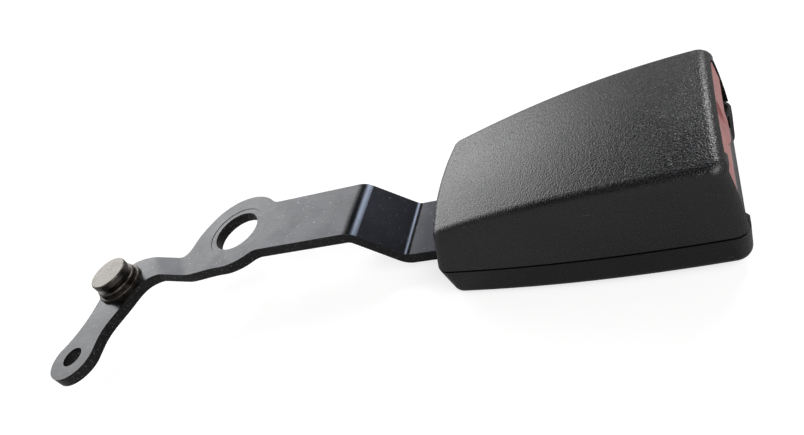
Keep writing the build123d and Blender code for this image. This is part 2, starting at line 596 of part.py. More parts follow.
# ------------------------------------------------------------- frame and its rivets
def buckle_frame():
    """Steel channel with the ejector slot, nose window, pin holes and bar slots."""
    high = WALL_HIGH
    outside = Rectangle(2 * FRAME_HALF, high, align=(Align.CENTER, Align.MIN))
    inside = Pos(0, BASE_TOP) * Rectangle(TONGUE_PATH, high, align=(Align.CENTER, Align.MIN))
    outside = fillet(outside.vertices().group_by(Axis.Y)[0], FRAME_THICK)
    inside = fillet(inside.vertices().group_by(Axis.Y)[0], 0.5)
    channel = Pos(FRAME_REAR, 0, 0) * extrude(Plane.YZ * (outside - inside), amount=FRAME_LENGTH)
    frame = channel & side_profile(frame_side(), -FRAME_HALF - 1, FRAME_HALF + 1)
    frame -= block(SLOT_REAR, NOSE_REAR, -SLOT_HALF, SLOT_HALF, -1, BASE_TOP + 1)
    window = (NOSE_REAR - 2 * SLIDE, LATCH_FRONT + 2 * SLIDE)
    frame -= block(*window, -NOSE_WINDOW_HALF, NOSE_WINDOW_HALF, -1, BASE_TOP + 1)
    frame -= along_y(PIVOT_AT, -20, 20, PIVOT_HEIGHT, PIN_DIAMETER / 2 + RUNNING)
    bar_slot = (BAR_REAR - BUTTON_TRAVEL - SLIDE, BAR_FRONT + SLIDE)
    frame -= block(*bar_slot, -20, 20, BAR_BOTTOM - SLIDE / 2, BAR_TOP + SLIDE / 2)
    frame -= block(PLATE_REAR - FIT, PLATE_FRONT + FIT, -20, 20, PLATE_LEDGE, WALL_HIGH + 1)
    for y in (-RIVET_SPACING / 2, RIVET_SPACING / 2):
        frame -= rivet_cut(y)
    tab_top = EJECTOR_SPRING_AXIS + EJECTOR_SPRING / 2 - SLIDE / 2
    tab = block(SLOT_REAR - SPRING_TAB_THICK, SLOT_REAR, -SLOT_HALF, SLOT_HALF, 0, tab_top)
    peg_front = SLOT_REAR + SPRING_PEG
    peg = along_x(SLOT_REAR - 0.5, peg_front, 0, EJECTOR_SPRING_AXIS, EJECTOR_SPRING_PEG)
    sill = sill_tab(0)
    lead_in = sill.edges().filter_by(Axis.Y).group_by(Axis.X)[-1].sort_by(Axis.Z)[-1]
    return frame + tab + peg + chamfer(lead_in, SILL_TAB_LEAD)


def frame_side():
    """Side view of the frame's walls, which rise from the rear to the button springs."""
    return [
        (FRAME_REAR, 0),
        (FRAME_FRONT, 0),
        (FRAME_FRONT, BUTTON_BOTTOM - 2 * SLIDE),
        (FRAME_WALL_END, BUTTON_BOTTOM - 2 * SLIDE),
        (FRAME_WALL_END, WALL_HIGH),
        (BAR_FRONT + 2, WALL_HIGH),
        (BAR_REAR - BUTTON_TRAVEL, BAR_TOP + 1),
        (PIVOT_AT - 4, PIVOT_HEIGHT + 1.8),
        (FRAME_REAR, PIVOT_HEIGHT - 1),
    ]


def rivet_cut(y):
    """Hole for one frame rivet: straight through, countersunk under the strap."""
    radius = RIVET_SHANK / 2 + FIT
    shank = upright(RIVET_AT, y, -STRAP_THICK - 1, BASE_TOP + 1, radius)
    sink = Pos(RIVET_AT, y, RIVET_SINK / 2 - STRAP_THICK) * Cone(radius + RIVET_SINK, radius, RIVET_SINK)
    return shank + sink


def frame_rivet(y):
    """Rivet with a domed head on the frame, closed flush under the strap."""
    radius = RIVET_SHANK / 2
    shank = upright(RIVET_AT, y, -STRAP_THICK, BASE_TOP, radius)
    sink = Pos(RIVET_AT, y, RIVET_SINK / 2 - STRAP_THICK) * Cone(radius + RIVET_SINK, radius, RIVET_SINK)
    head = upright(RIVET_AT, y, BASE_TOP, BASE_TOP + RIVET_HEAD_HIGH, RIVET_HEAD / 2)
    head = fillet(head.edges().group_by(Axis.Z)[-1], 0.8 * RIVET_HEAD_HIGH)
    return shank + sink + head


# ------------------------------------------------------------------- latch and pivot
def latch():
    """Latch plate: lugs on the pin, wedge under the lock bar, ears and the nose."""
    half = LATCH_HALF
    lug_inner = half - LUG_THICK
    plate = block(PIVOT_AT + LUG_RADIUS + 1, LATCH_FRONT, -half, half, LATCH_BOTTOM, LATCH_TOP)
    plate = fillet(plate.edges().filter_by(Axis.Z).group_by(Axis.X)[-1], 1.5)
    lug = along_y(PIVOT_AT, lug_inner, half, PIVOT_HEIGHT, LUG_RADIUS)
    lug += block(PIVOT_AT, PIVOT_AT + LUG_RADIUS + 2, lug_inner, half, LATCH_BOTTOM, LATCH_TOP)
    ear = block(EAR_REAR, EAR_FRONT, half - 2, ARM_OUTER - 0.1, EAR_BOTTOM, EAR_BOTTOM + EAR_THICK)
    ear += block(EAR_REAR, EAR_FRONT, half - 2, half, LATCH_TOP, EAR_BOTTOM + EAR_THICK)
    wedge_top = BAR_BOTTOM - SLIDE
    wedge_slope = SWING_PER_MM * (BAR_FRONT - PIVOT_AT)
    wedge = side_profile([
        (BAR_FRONT - (wedge_top - LATCH_TOP) / wedge_slope, LATCH_TOP),
        (BAR_FRONT, wedge_top),
        (BAR_FRONT + WEDGE_LAND, wedge_top),
        (BAR_FRONT + WEDGE_LAND, LATCH_TOP),
    ], -half + 3, half - 3)
    tip = LATCH_BOTTOM - NOSE_DROP
    nose = side_profile([
        (NOSE_REAR, LATCH_BOTTOM + 0.5),
        (NOSE_REAR, tip),
        (NOSE_REAR + 0.55 * NOSE_LENGTH, tip),
        (LATCH_FRONT - 0.2, LATCH_BOTTOM),
        (LATCH_FRONT - 0.2, LATCH_BOTTOM + 0.5),
    ], -NOSE_WIDTH / 2, NOSE_WIDTH / 2)
    peg = upright(LATCH_SPRING_X, 0, LATCH_TOP, LATCH_TOP + SHORT_PEG, LATCH_SPRING_PEG)
    bore = along_y(PIVOT_AT, -20, 20, PIVOT_HEIGHT, PIN_DIAMETER / 2 + RUNNING)
    return plate + both_sides(lug + ear) + wedge + nose + peg - bore


def latch_pin():
    """Pin across the frame walls, grooved at each end for a clip."""
    pin = along_y(PIVOT_AT, -PIN_END, PIN_END, PIVOT_HEIGHT, PIN_DIAMETER / 2)
    pin = chamfer(pin.edges(), 0.2)
    groove = along_y(PIVOT_AT, FRAME_HALF + FIT, FRAME_HALF + CLIP_THICK + 3 * FIT, PIVOT_HEIGHT, 10)
    groove -= along_y(PIVOT_AT, FRAME_HALF, FRAME_HALF + CLIP_THICK + 1, PIVOT_HEIGHT, CLIP_BORE)
    return pin - both_sides(groove)


def pin_clip():
    """Open retaining clip in the groove on the +Y end of the pin."""
    near = FRAME_HALF + 2 * FIT
    ring = along_y(PIVOT_AT, near, near + CLIP_THICK, PIVOT_HEIGHT, CLIP_DIAMETER / 2)
    ring -= along_y(PIVOT_AT, near - 1, near + 2, PIVOT_HEIGHT, CLIP_BORE + FIT)
    mouth = 0.8 * CLIP_BORE
    low, high = PIVOT_HEIGHT - mouth, PIVOT_HEIGHT + mouth
    return ring - block(PIVOT_AT, PIVOT_AT + CLIP_DIAMETER, near - 1, near + 2, low, high)


def lock_bar():
    """Flat bar across the latch, carried by the button's arms in the frame slots."""
    bar = block(BAR_REAR, BAR_FRONT, -BAR_HALF, BAR_HALF, BAR_BOTTOM, BAR_TOP)
    return chamfer(bar.edges().filter_by(Axis.Y), 0.25)


def spring_plate():
    """Cross plate in the frame walls that the button springs push against."""
    hang_half = ARM_INNER - SLIDE
    plate = block(PLATE_REAR, PLATE_FRONT, -FRAME_HALF, FRAME_HALF, PLATE_LEDGE, WALL_HIGH)
    plate += block(PLATE_REAR, PLATE_FRONT, -hang_half, hang_half, BUTTON_BOTTOM + 0.1, WALL_HIGH)
    for y in (-BUTTON_SPRING_SPACING / 2, BUTTON_SPRING_SPACING / 2):
        plate += along_x(PLATE_REAR, PLATE_FRONT + SPRING_PEG, y, BUTTON_SPRING_Z, BUTTON_SPRING_PEG)
    return plate


# ------------------------------------------------------------------ button, ejector
def release_button():
    """Hollow push button with a thumb rest, two ramp arms and saddles for the bar."""
    bottom = BUTTON_BOTTOM
    top = BUTTON_TOP
    crease = bottom + FACE_CREASE
    rear = BUTTON_REAR
    outer = upper_block(BUTTON_INSET, stretch=BUTTON_INSET)
    outer &= side_profile([
        (rear, bottom),
        (BUTTON_FACE, bottom),
        (BUTTON_FACE, crease),
        (BUTTON_FACE - FACE_LEAN, top),
        (rear, top),
    ], *SHELL_SPAN)
    wall = BUTTON_WALL
    inner = upper_block(BUTTON_INSET + wall)
    inner &= side_profile([
        (rear - 1, bottom + wall),
        (BUTTON_FACE - wall, bottom + wall),
        (BUTTON_FACE - wall, crease),
        (BUTTON_FACE - wall - FACE_LEAN, top),
        (rear - 1, top),
    ], *SHELL_SPAN)
    cap = outer - inner + thumb_lip() - thumb_dish()

    arm_rear = BAR_REAR - WEDGE_LAND
    arm = side_profile([
        (arm_rear, bottom),
        (BUTTON_FACE - 1, bottom),
        (BUTTON_FACE - 1.5, ARM_HIGH),
        (EAR_FRONT + BUTTON_TRAVEL, ARM_HIGH),
        (EAR_FRONT, ARM_LOW),
        (arm_rear, ARM_LOW),
    ], ARM_INNER, ARM_OUTER)
    saddle = block(arm_rear, BAR_FRONT + WEDGE_LAND, ARM_INNER, ARM_OUTER, bottom, BAR_TOP + SLIDE)
    held = (BAR_REAR - FIT, BAR_FRONT + FIT)
    saddle -= block(*held, ARM_INNER, ARM_OUTER, BAR_BOTTOM - FIT, BAR_TOP + 1)
    seats = Part()
    for y in (-BUTTON_SPRING_SPACING / 2, BUTTON_SPRING_SPACING / 2):
        seat_radius = BUTTON_SPRING / 2 + 2 * SPRING_GAP
        seats += along_x(BUTTON_SEAT, BUTTON_FACE - 1, y, BUTTON_SPRING_Z, seat_radius)
    return cap + both_sides(arm + saddle) + seats


def thumb_dish():
    """Round hollow for the thumb, centred high on the button's face."""
    return Pos(BUTTON_FACE + THUMB_SPHERE - THUMB_SETBACK, 0, THUMB_HEIGHT) * Sphere(THUMB_SPHERE)


def thumb_lip():
    """Crescent lip under the hollow, deepest in the middle and gone at its ends."""
    tip_radius = THUMB_RADIUS - THUMB_LIP_DRAFT
    reach = 2 * THUMB_LIP_REACH
    cone = Cone(THUMB_RADIUS + THUMB_LIP_DRAFT, tip_radius, reach)
    disc = Pos(BUTTON_FACE, 0, THUMB_HEIGHT) * Rot(0, 90, 0) * cone
    low = THUMB_HEIGHT - THUMB_RADIUS
    wedge = side_profile([
        (BUTTON_FACE - BUTTON_WALL / 2, low - THUMB_LIP_DRAFT),
        (BUTTON_FACE + THUMB_LIP_REACH, low - THUMB_LIP_DRAFT),
        (BUTTON_FACE + THUMB_LIP_REACH, low + THUMB_LIP_DRAFT),
        (BUTTON_FACE - BUTTON_WALL / 2, low + THUMB_LIP_RISE + THUMB_LIP_REACH),
    ], -THUMB_RADIUS, THUMB_RADIUS)
    return disc & wedge


def ejector():
    """Sliding plate behind the latch nose, keyed into the frame slot by its keel."""
    half = EJECTOR_WIDTH / 2
    plate = block(EJECTOR_REAR, EJECTOR_FRONT, -half, half, EJECTOR_BOTTOM, EJECTOR_TOP)
    plate = fillet(plate.edges().filter_by(Axis.Z), 1.2)
    keel_half = KEEL_WIDTH / 2
    keel = block(EJECTOR_REAR, EJECTOR_FRONT - 2 * SLIDE, -keel_half, keel_half, SLIDE, EJECTOR_TOP)
    pocket_end = EJECTOR_REAR + EJECTOR_POCKET
    room = EJECTOR_SPRING / 2 + SLIDE
    start = EJECTOR_REAR - 1
    pocket = along_x(start, pocket_end, 0, EJECTOR_SPRING_AXIS, room)
    pocket += block(start, pocket_end, -room, room, EJECTOR_SPRING_AXIS, EJECTOR_TOP + 1)
    return plate + keel - pocket


def tongue_guide():
    """Sill block and two cheeks that lead the tongue from the mouth to the frame."""
    half = PATH_HALF + GUIDE_CHEEK
    front = GUIDE_FRONT
    sill = block(FRAME_FRONT, front, -half, half, FLOOR_TOP, BASE_TOP) - sill_tab(RUNNING)
    cheek = block(FRAME_FRONT, front, PATH_HALF, half, FLOOR_TOP, BUTTON_BOTTOM - 2 * SLIDE)
    flare = cheek.edges().filter_by(Axis.Z).group_by(Axis.X)[-1].sort_by(Axis.Y)[0]
    cheek = chamfer(flare, 1.5)
    guide = sill + both_sides(cheek)
    return chamfer(guide.edges().filter_by(Axis.Y).group_by(Axis.Z)[0].sort_by(Axis.X)[-1], 1.0)


def damping_pad():
    """Felt pad that keeps the strap off the lower cover's floor."""
    half = STRAP_HALF - 2
    end = STRAP_IN_HEAD - PAD_END_GAP
    return block(end - PAD_LENGTH, end, -half, half, FLOOR_TOP, -STRAP_THICK)


# ---------------------------------------------------------------------------- springs
def button_spring(y):
    """Spring between the cross plate and the button, axis along X."""
    coil = coil_spring(BUTTON_SPRING, BUTTON_SPRING_WIRE, BUTTON_SPRING_TURNS, BUTTON_SEAT - PLATE_FRONT)
    return Pos(PLATE_FRONT, y, BUTTON_SPRING_Z) * Rot(0, 90, 0) * coil


def latch_spring():
    """Upright spring that holds the latch down."""
    coil = coil_spring(LATCH_SPRING, LATCH_SPRING_WIRE, LATCH_SPRING_TURNS, LATCH_SPRING_HIGH)
    return Pos(LATCH_SPRING_X, 0, LATCH_TOP) * coil


def ejector_spring():
    """Spring in the frame slot that drives the ejector to the mouth."""
    length = EJECTOR_REAR + EJECTOR_POCKET - SLOT_REAR
    coil = coil_spring(EJECTOR_SPRING, EJECTOR_SPRING_WIRE, EJECTOR_SPRING_TURNS, length)
    return Pos(SLOT_REAR, 0, EJECTOR_SPRING_AXIS) * Rot(0, 90, 0) * coil


# ------------------------------------------------------------------------------ write
def strap_parts():
    """Nodes drawn in the strap's own frame."""
    return {
        "anchor_strap": anchor_strap(),
        "anchor_stud": anchor_stud(),
        "stud_collar": stud_collar(),
        "stud_washer": stud_washer(),
    }


def head_parts():
    """Nodes drawn in the head's coordinates."""
    rivet_side = RIVET_SPACING / 2
    spring_side = BUTTON_SPRING_SPACING / 2
    return {
        "upper_cover": upper_cover(),
        "lower_cover": lower_cover(),
        "buckle_frame": buckle_frame(),
        "frame_rivet_left": frame_rivet(rivet_side),
        "frame_rivet_right": frame_rivet(-rivet_side),
        "latch": latch(),
        "latch_pin": latch_pin(),
        "pin_clip_left": pin_clip(),
        "pin_clip_right": mirror(pin_clip(), about=Plane.XZ),
        "latch_spring": latch_spring(),
        "lock_bar": lock_bar(),
        "spring_plate": spring_plate(),
        "release_button": release_button(),
        "button_spring_left": button_spring(spring_side),
        "button_spring_right": button_spring(-spring_side),
        "ejector": ejector(),
        "ejector_spring": ejector_spring(),
        "tongue_guide": tongue_guide(),
        "damping_pad": damping_pad(),
    }


os.makedirs("parts", exist_ok=True)
for name, shape in strap_parts().items():
    export_step(shape, f"parts/{name}.step")
for name, shape in head_parts().items():
    export_step(HEAD_PLACE * shape, f"parts/{name}.step")
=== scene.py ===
"""Looks for the seat belt buckle: materials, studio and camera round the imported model.

Places are metres in the part's frame: x runs from the anchor stud towards the tongue's slot,
and z is up. The materials lay out their patterns in millimetres of the same frame.
"""

import bpy
from mathutils import Matrix, Vector


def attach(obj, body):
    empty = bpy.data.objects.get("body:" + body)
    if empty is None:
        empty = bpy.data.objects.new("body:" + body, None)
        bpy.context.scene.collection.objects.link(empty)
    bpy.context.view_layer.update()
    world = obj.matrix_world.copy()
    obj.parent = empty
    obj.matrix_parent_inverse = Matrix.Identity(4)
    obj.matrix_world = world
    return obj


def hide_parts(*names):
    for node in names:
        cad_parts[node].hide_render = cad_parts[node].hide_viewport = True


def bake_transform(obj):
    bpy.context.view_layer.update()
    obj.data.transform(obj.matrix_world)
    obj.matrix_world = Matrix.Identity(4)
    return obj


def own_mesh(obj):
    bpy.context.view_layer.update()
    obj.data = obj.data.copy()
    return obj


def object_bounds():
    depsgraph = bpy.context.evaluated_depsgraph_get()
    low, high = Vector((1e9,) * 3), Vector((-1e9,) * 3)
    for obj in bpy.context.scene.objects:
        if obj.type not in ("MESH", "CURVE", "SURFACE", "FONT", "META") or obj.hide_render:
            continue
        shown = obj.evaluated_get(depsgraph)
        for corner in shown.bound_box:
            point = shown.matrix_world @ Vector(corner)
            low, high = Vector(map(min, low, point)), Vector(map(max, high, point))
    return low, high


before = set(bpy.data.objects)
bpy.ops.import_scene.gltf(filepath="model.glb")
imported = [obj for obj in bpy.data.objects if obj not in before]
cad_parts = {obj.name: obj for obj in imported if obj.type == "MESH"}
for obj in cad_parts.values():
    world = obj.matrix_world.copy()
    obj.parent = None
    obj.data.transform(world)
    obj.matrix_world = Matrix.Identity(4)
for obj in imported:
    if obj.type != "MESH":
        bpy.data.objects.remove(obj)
cad_low, cad_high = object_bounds()

MM = 0.001
# A full turn in radians.
FULL_TURN = 6.2832
RISING = (0.0, 1.0)
FALLING = (1.0, 0.0)

# ------------------------------------------------------------------------ camera
CAMERA_PLACE = (0.121603, -0.103286, 0.089656)
CAMERA_RIGHT = (0.87189675, 0.21552544, -0.43970996)
CAMERA_UP = (0.15625319, 0.7285492, 0.66693403)
CAMERA_BACK = (0.46409159, -0.6502037, 0.60154314)
CAMERA_LENS = 29.665
CAMERA_SENSOR = 36.0
CAMERA_CLIP = (0.005, 20.0)

# ------------------------------------------------------------------------ studio
FLOOR_SPAN = 6.0
FLOOR_GAP = 0.02 * MM
FLOOR_COLOUR = (0.46, 0.46, 0.46)
FLOOR_GLOW = 0.70
SURROUND_COLOUR = (1.0, 1.0, 1.0, 1.0)
SURROUND_SEEN = 1.0
HORIZON_LIGHT = 0.50
CEILING_LIGHT = 0.05
# The upward share of a direction, from where the light dims to where it is dimmest.
CEILING_SPAN = (0.58, 0.76)
# Two soft windows: brightness, direction, and the cosines where each starts and is full.
WINDOWS = (
    (3.2, (-0.700, 0.620, 0.355), (0.829, 0.990)),
    (11.0, (0.270, 0.728, 0.630), (0.972, 0.996)),
)
KEY_PLACE = (0.78, -0.50, 0.86)
KEY_AIM = (0.04, 0.0, 0.0)
KEY_SIZE = 0.9
KEY_POWER = 9.0
KEY_COLOUR = (1.0, 0.995, 0.985)

# -------------------------------------------------------------------- stand-ins
# The photo's button face is nearer the rim than the CAD node's, and its thumb rest is flatter.
FACE_FORWARD = 0.50 * MM
# The new face is a plane: its x at the crease, the crease's z, and how far it leans back per rise.
FACE_FRONT = 119.26 * MM
FACE_CREASE = 1.0 * MM
FACE_SLOPE = 0.157
# The share that is kept of whatever stands out past the face's plane.
LIP_KEPT = 0.40
# How far behind the button's front the draw forward starts, and where it is full.
FRONT_DEPTH = (8.0 * MM, 5.0 * MM)

# ---------------------------------------------------------------------- patterns
# A scale is in features per mm. A span is the pair of values between which a field takes a look
# from none to all, and a share is how much of a look is mixed in.

# Moulded plastic. The pits and peaks are in features per grain.
BLOTCH_SCALE, BLOTCH_SPAN = 0.09, (0.3, 0.7)
PIT_SCALE, PIT_SHARE = 0.8, 0.6
# Pale grain peaks on faces that look up are painted glints.
PEAK_SCALE, PEAK_SPAN = 1.15, (0.54, 0.68)
ROOF_SPAN = (0.80, 0.93)
# How far a face turns sideways before it takes the full painted shade.
SIDEWAYS_SHADE_SPAN = (0.02, 0.22)
SPECK_SCALE, SPECK_SPAN = 0.42, (0.0, 0.09)
SPECK_GATE_SCALE, SPECK_GATE_SPAN = 0.23, (0.60, 0.66)
SCRATCH_STRETCH, SCRATCH_TURN, SCRATCH_SPAN = (0.05, 1.7, 1.7), (0.3, 0.5, 0.9), (0.78, 0.81)
PLASTIC_DUST = (0.20, 0.20, 0.20, 1.0)
GLOSS_SPAN, GLOSS_LESS, GLOSS_MORE = (0.36, 0.66), 0.07, 0.10
GLOSS_SHARES = (0.3, 0.7)

# Rolled steel. A cut edge is a surface whose direction is nearly level.
EDGE_SPAN = (0.12, 0.45)
CLOUD_SCALE, FINE_SCALE = 0.12, 3.2
CLOUD_SHARE, DRAWN_SHARE, TINT_SPAN = 0.70, 0.30, (0.36, 0.62)
STAIN_SCALE, STAIN_SPAN, STAIN_SHARE = 0.33, (0.56, 0.74), 0.5
DUST_SCALE, DUST_SPAN, DUST_SHARE = 1.15, (0.05, 0.20), 0.5
DUST_GATE_SCALE, DUST_GATE_SPAN = 0.8, (0.46, 0.58)
STEEL_DUST = (0.35, 0.36, 0.38, 1.0)
TORN_SCALE, TORN_SPAN, TORN_HIGH = 1.1, (0.45, 0.72), 0.10 * MM
FLECK_STRETCH, FLECK_SCALE, FLECK_SPAN = (1.0, 1.0, 0.5), 2.6, (0.60, 0.70)
FLECK_COLOUR = (0.30, 0.30, 0.31, 1.0)
SHEET_ROUGH_SPAN, SHEET_LESS, SHEET_MORE = (0.4, 1.1), 0.04, 0.07
FINE_SHARE = 0.5
SHEET_HIGH, SHEET_DRAWN_SHARE = 0.007 * MM, 0.3

# Painted reflection and shade: a darker bluish tint on faces that lean forward, for the dark head
# they mirror, and painted shade from a little before the cover onwards.
LEAN_SPAN, LEAN_REFLECTION_TINT = (0.15, 0.50), (0.040, 0.046, 0.060, 1.0)
RAMP_SPAN = (0.62, 0.70)
HEAD_SPAN, HEAD_SHARE = (48.0, 54.0), 0.75
# Dust specks over the painted reflection and shade.
DUST_ON_PAINTED_SHADE = (0.20, 0.21, 0.24, 1.0)

# Coined rings. They fade in and out over mm from their inner and outer radius.
WOBBLE_SCALE, WOBBLE_SIZE = 0.25, 0.5
COIN_START, COIN_END = (-0.2, 0.4), (-0.9, 0.0)
COIN_GAP_SCALE, COIN_GAP_SPAN = 0.16, (0.35, 0.6)
COIN_HIGH = 0.012 * MM
CREST_SPAN, CREST_SHARE, CREST_COLOUR = (0.75, 1.0), 0.35, (0.17, 0.172, 0.178, 1.0)

# Turned steel, with its rings' pitch in mm.
RING_PITCH, RING_SHARE = 0.30, 0.3
STACK_STRETCH, STACK_SHARE = (0.15, 0.15, 5.0), 2.0
HANDLED_SCALE, HANDLED_SPAN = 0.45, (0.35, 0.65)
SPOT_SCALE, SPOT_SPAN, SPOT_SHARES = 1.9, (0.50, 0.66), (0.6, 0.4)
TURNED_ROUGH_SPAN, TURNED_LESS, TURNED_MORE = (0.2, 0.9), 0.04, 0.12

# Spring wire.
HEAT_SCALE, HEAT_SPAN, HEAT_TINT = 0.8, (0.35, 0.7), (0.86, 0.80, 0.70)
WIRE_ROUGH_SPAN, WIRE_LESS, WIRE_MORE = (0.2, 0.8), 0.05, 0.08
WIRE_SCALE, WIRE_HIGH = 6.0, 0.01 * MM

# Felt: two layers of fibres, each with its stretch and turn.
FIBRE_LAYERS = (
    ((1.2, 9.0, 9.0), (0.0, 0.0, 0.6)),
    ((9.0, 1.4, 9.0), (0.0, 0.0, -0.5)),
)
FIBRE_SPAN, FIBRE_PALE, FIBRE_HIGH = (0.4, 0.8), 3.0, 0.15 * MM
FELT_ROUGH, FELT_SHEEN = 0.95, 0.4


# ------------------------------------------------------------------ node helpers
# The mix node's first input, second input and output, for each kind of value.
NUMBER_SOCKETS = (2, 3, 0)
COLOUR_SOCKETS = (6, 7, 2)


class Graph:
    """The shader nodes of one material or world, emptied and then built up."""

    def __init__(self, owner):
        owner.use_nodes = True
        self.tree = owner.node_tree
        self.tree.nodes.clear()

    def add(self, kind, **settings):
        """A new node of a kind."""
        node = self.tree.nodes.new(kind)
        for key, value in settings.items():
            setattr(node, key, value)
        return node

    def link(self, source, target):
        """Joins two sockets."""
        self.tree.links.new(source, target)

    def feed(self, value, target):
        """Links a socket, or sets a plain value."""
        if isinstance(value, bpy.types.NodeSocket):
            self.link(value, target)
        else:
            target.default_value = value

    def math(self, operation, a, b=0.0):
        """One operation on one or two numbers."""
        node = self.add("ShaderNodeMath", operation=operation)
        self.feed(a, node.inputs[0])
        self.feed(b, node.inputs[1])
        return node.outputs[0]

    def weigh(self, a, share_a, b, share_b):
        """Two numbers added up, each with its own weight."""
        return self.math("ADD", self.math("MULTIPLY", a, share_a),
                         self.math("MULTIPLY", b, share_b))

    def fade(self, value, span, result=RISING):
        """Smooth step from result[0] at span[0] to result[1] at span[1]."""
        node = self.add("ShaderNodeMapRange", interpolation_type="SMOOTHSTEP")
        self.feed(value, node.inputs["Value"])
        for name, number in zip(("From Min", "From Max", "To Min", "To Max"), (*span, *result)):
            node.inputs[name].default_value = number
        return node.outputs[0]

    def mixed(self, kind, sockets, share, a, b):
        """The mix node's result, for the sockets that its kind of value uses."""
        first, second, result = sockets
        node = self.add("ShaderNodeMix", data_type=kind)
        self.feed(share, node.inputs["Factor"])
        self.feed(a, node.inputs[first])
        self.feed(b, node.inputs[second])
        return node.outputs[result]

    def mix(self, share, a, b):
        """Colour a at share 0 and colour b at share 1."""
        return self.mixed("RGBA", COLOUR_SOCKETS, share, a, b)

    def between(self, share, a, b):
        """Number a at share 0 and number b at share 1."""
        return self.mixed("FLOAT", NUMBER_SOCKETS, share, a, b)

    def parts(self, vector):
        """A vector's x, y and z."""
        node = self.add("ShaderNodeSeparateXYZ")
        self.link(vector, node.inputs[0])
        return node.outputs

    def noise(self, place, scale=1.0, detail=3.0, roughness=0.5):
        """Cloudy noise from about 0 to 1."""
        node = self.add("ShaderNodeTexNoise")
        self.feed(place, node.inputs["Vector"])
        node.inputs["Scale"].default_value = scale
        node.inputs["Detail"].default_value = detail
        node.inputs["Roughness"].default_value = roughness
        return node.outputs["Fac"]

    def cells(self, place, scale, feature="F1"):
        """Distance to the nearest of many scattered points."""
        node = self.add("ShaderNodeTexVoronoi", feature=feature)
        self.feed(place, node.inputs["Vector"])
        node.inputs["Scale"].default_value = scale
        return node.outputs["Distance"]

    def stretch(self, place, scale, turn=(0.0, 0.0, 0.0)):
        """The place turned and scaled, so that a pattern read there is drawn out."""
        node = self.add("ShaderNodeMapping")
        self.feed(place, node.inputs["Vector"])
        node.inputs["Scale"].default_value = scale
        node.inputs["Rotation"].default_value = turn
        return node.outputs[0]

    def bump(self, height, distance, under=None):
        """A relief of height times distance, over another relief if there is one."""
        node = self.add("ShaderNodeBump")
        self.feed(height, node.inputs["Height"])
        node.inputs["Distance"].default_value = distance
        node.inputs["Strength"].default_value = 1.0
        if under is not None:
            self.feed(under, node.inputs["Normal"])
        return node.outputs[0]

    def seen_directly(self):
        """1 for rays that the camera sends, and 0 for light that bounces."""
        path = self.add("ShaderNodeLightPath")
        return self.math("MAXIMUM", path.outputs["Is Camera Ray"],
                         path.outputs["Is Transmission Ray"])


class Surface(Graph):
    """A new material with a Principled shader, and where a point of it is and faces."""

    def __init__(self, name):
        self.material = bpy.data.materials.new(name)
        super().__init__(self.material)
        self.shader = self.add("ShaderNodeBsdfPrincipled")
        output = self.add("ShaderNodeOutputMaterial")
        self.link(self.shader.outputs[0], output.inputs[0])
        coordinates = self.add("ShaderNodeTexCoord")
        self.place = self.stretch(coordinates.outputs["Object"], (1 / MM, 1 / MM, 1 / MM))
        self.normal = coordinates.outputs["Normal"]

    def give(self, name, value):
        """Gives the shader's input a value or a field."""
        self.feed(value, self.shader.inputs[name])

    def radius_from(self, centre):
        """Distance in mm from a vertical axis at centre."""
        x, y = self.parts(self.place)[:2]
        dx = self.math("SUBTRACT", x, centre[0])
        dy = self.math("SUBTRACT", y, centre[1])
        return self.math("SQRT", self.weigh(dx, dx, dy, dy))


# ---------------------------------------------------------------- material makers
def moulded_plastic(name, colour, pale, rough, grain, grain_high, specular=0.5, wear=0.3,
                    painted_shade=None, glint_colour=None):
    """Leather-like grain with specks of dust and scratches.

    Faces that turn sideways can take a deeper colour, which is painted shade, and the grain's
    peaks on faces that look up can be drawn pale, which are painted glints. The grain is in mm.
    """
    g = Surface(name)
    blotch = g.noise(g.place, BLOTCH_SCALE)
    fine = g.noise(g.place, 1 / grain, detail=1.0)
    pits = g.cells(g.place, PIT_SCALE / grain, "SMOOTH_F1")
    speck_gate = g.fade(g.noise(g.place, SPECK_GATE_SCALE, detail=2.0), SPECK_GATE_SPAN)
    specks = g.fade(g.cells(g.place, SPECK_SCALE), SPECK_SPAN, FALLING)
    specks = g.math("MULTIPLY", specks, speck_gate)
    scratch_place = g.stretch(g.place, SCRATCH_STRETCH, SCRATCH_TURN)
    scratches = g.fade(g.noise(scratch_place, detail=1.0), SCRATCH_SPAN)
    marks = g.math("MULTIPLY", g.math("MAXIMUM", specks, scratches), wear)
    base = g.mix(g.fade(blotch, BLOTCH_SPAN), colour, pale)
    _, sideways, upward = g.parts(g.normal)
    # Painted shade: faces that turn sideways take a deeper colour.
    if painted_shade is not None:
        base = g.mix(g.fade(g.math("ABSOLUTE", sideways), SIDEWAYS_SHADE_SPAN), base, painted_shade)
    # Painted glints: the grain's peaks on faces that look up are drawn pale.
    if glint_colour is not None:
        glinting_peaks = g.fade(g.noise(g.place, PEAK_SCALE / grain, detail=1.0), PEAK_SPAN)
        base = g.mix(g.math("MULTIPLY", glinting_peaks, g.fade(upward, ROOF_SPAN)), base, glint_colour)
    g.give("Base Color", g.mix(marks, base, PLASTIC_DUST))
    gloss = g.weigh(blotch, GLOSS_SHARES[0], fine, GLOSS_SHARES[1])
    g.give("Roughness", g.fade(gloss, GLOSS_SPAN, (rough - GLOSS_LESS, rough + GLOSS_MORE)))
    g.give("Specular IOR Level", specular)
    grain_field = g.math("ADD", fine, g.math("MULTIPLY", pits, PIT_SHARE))
    g.give("Normal", g.bump(grain_field, grain_high))
    return g.material


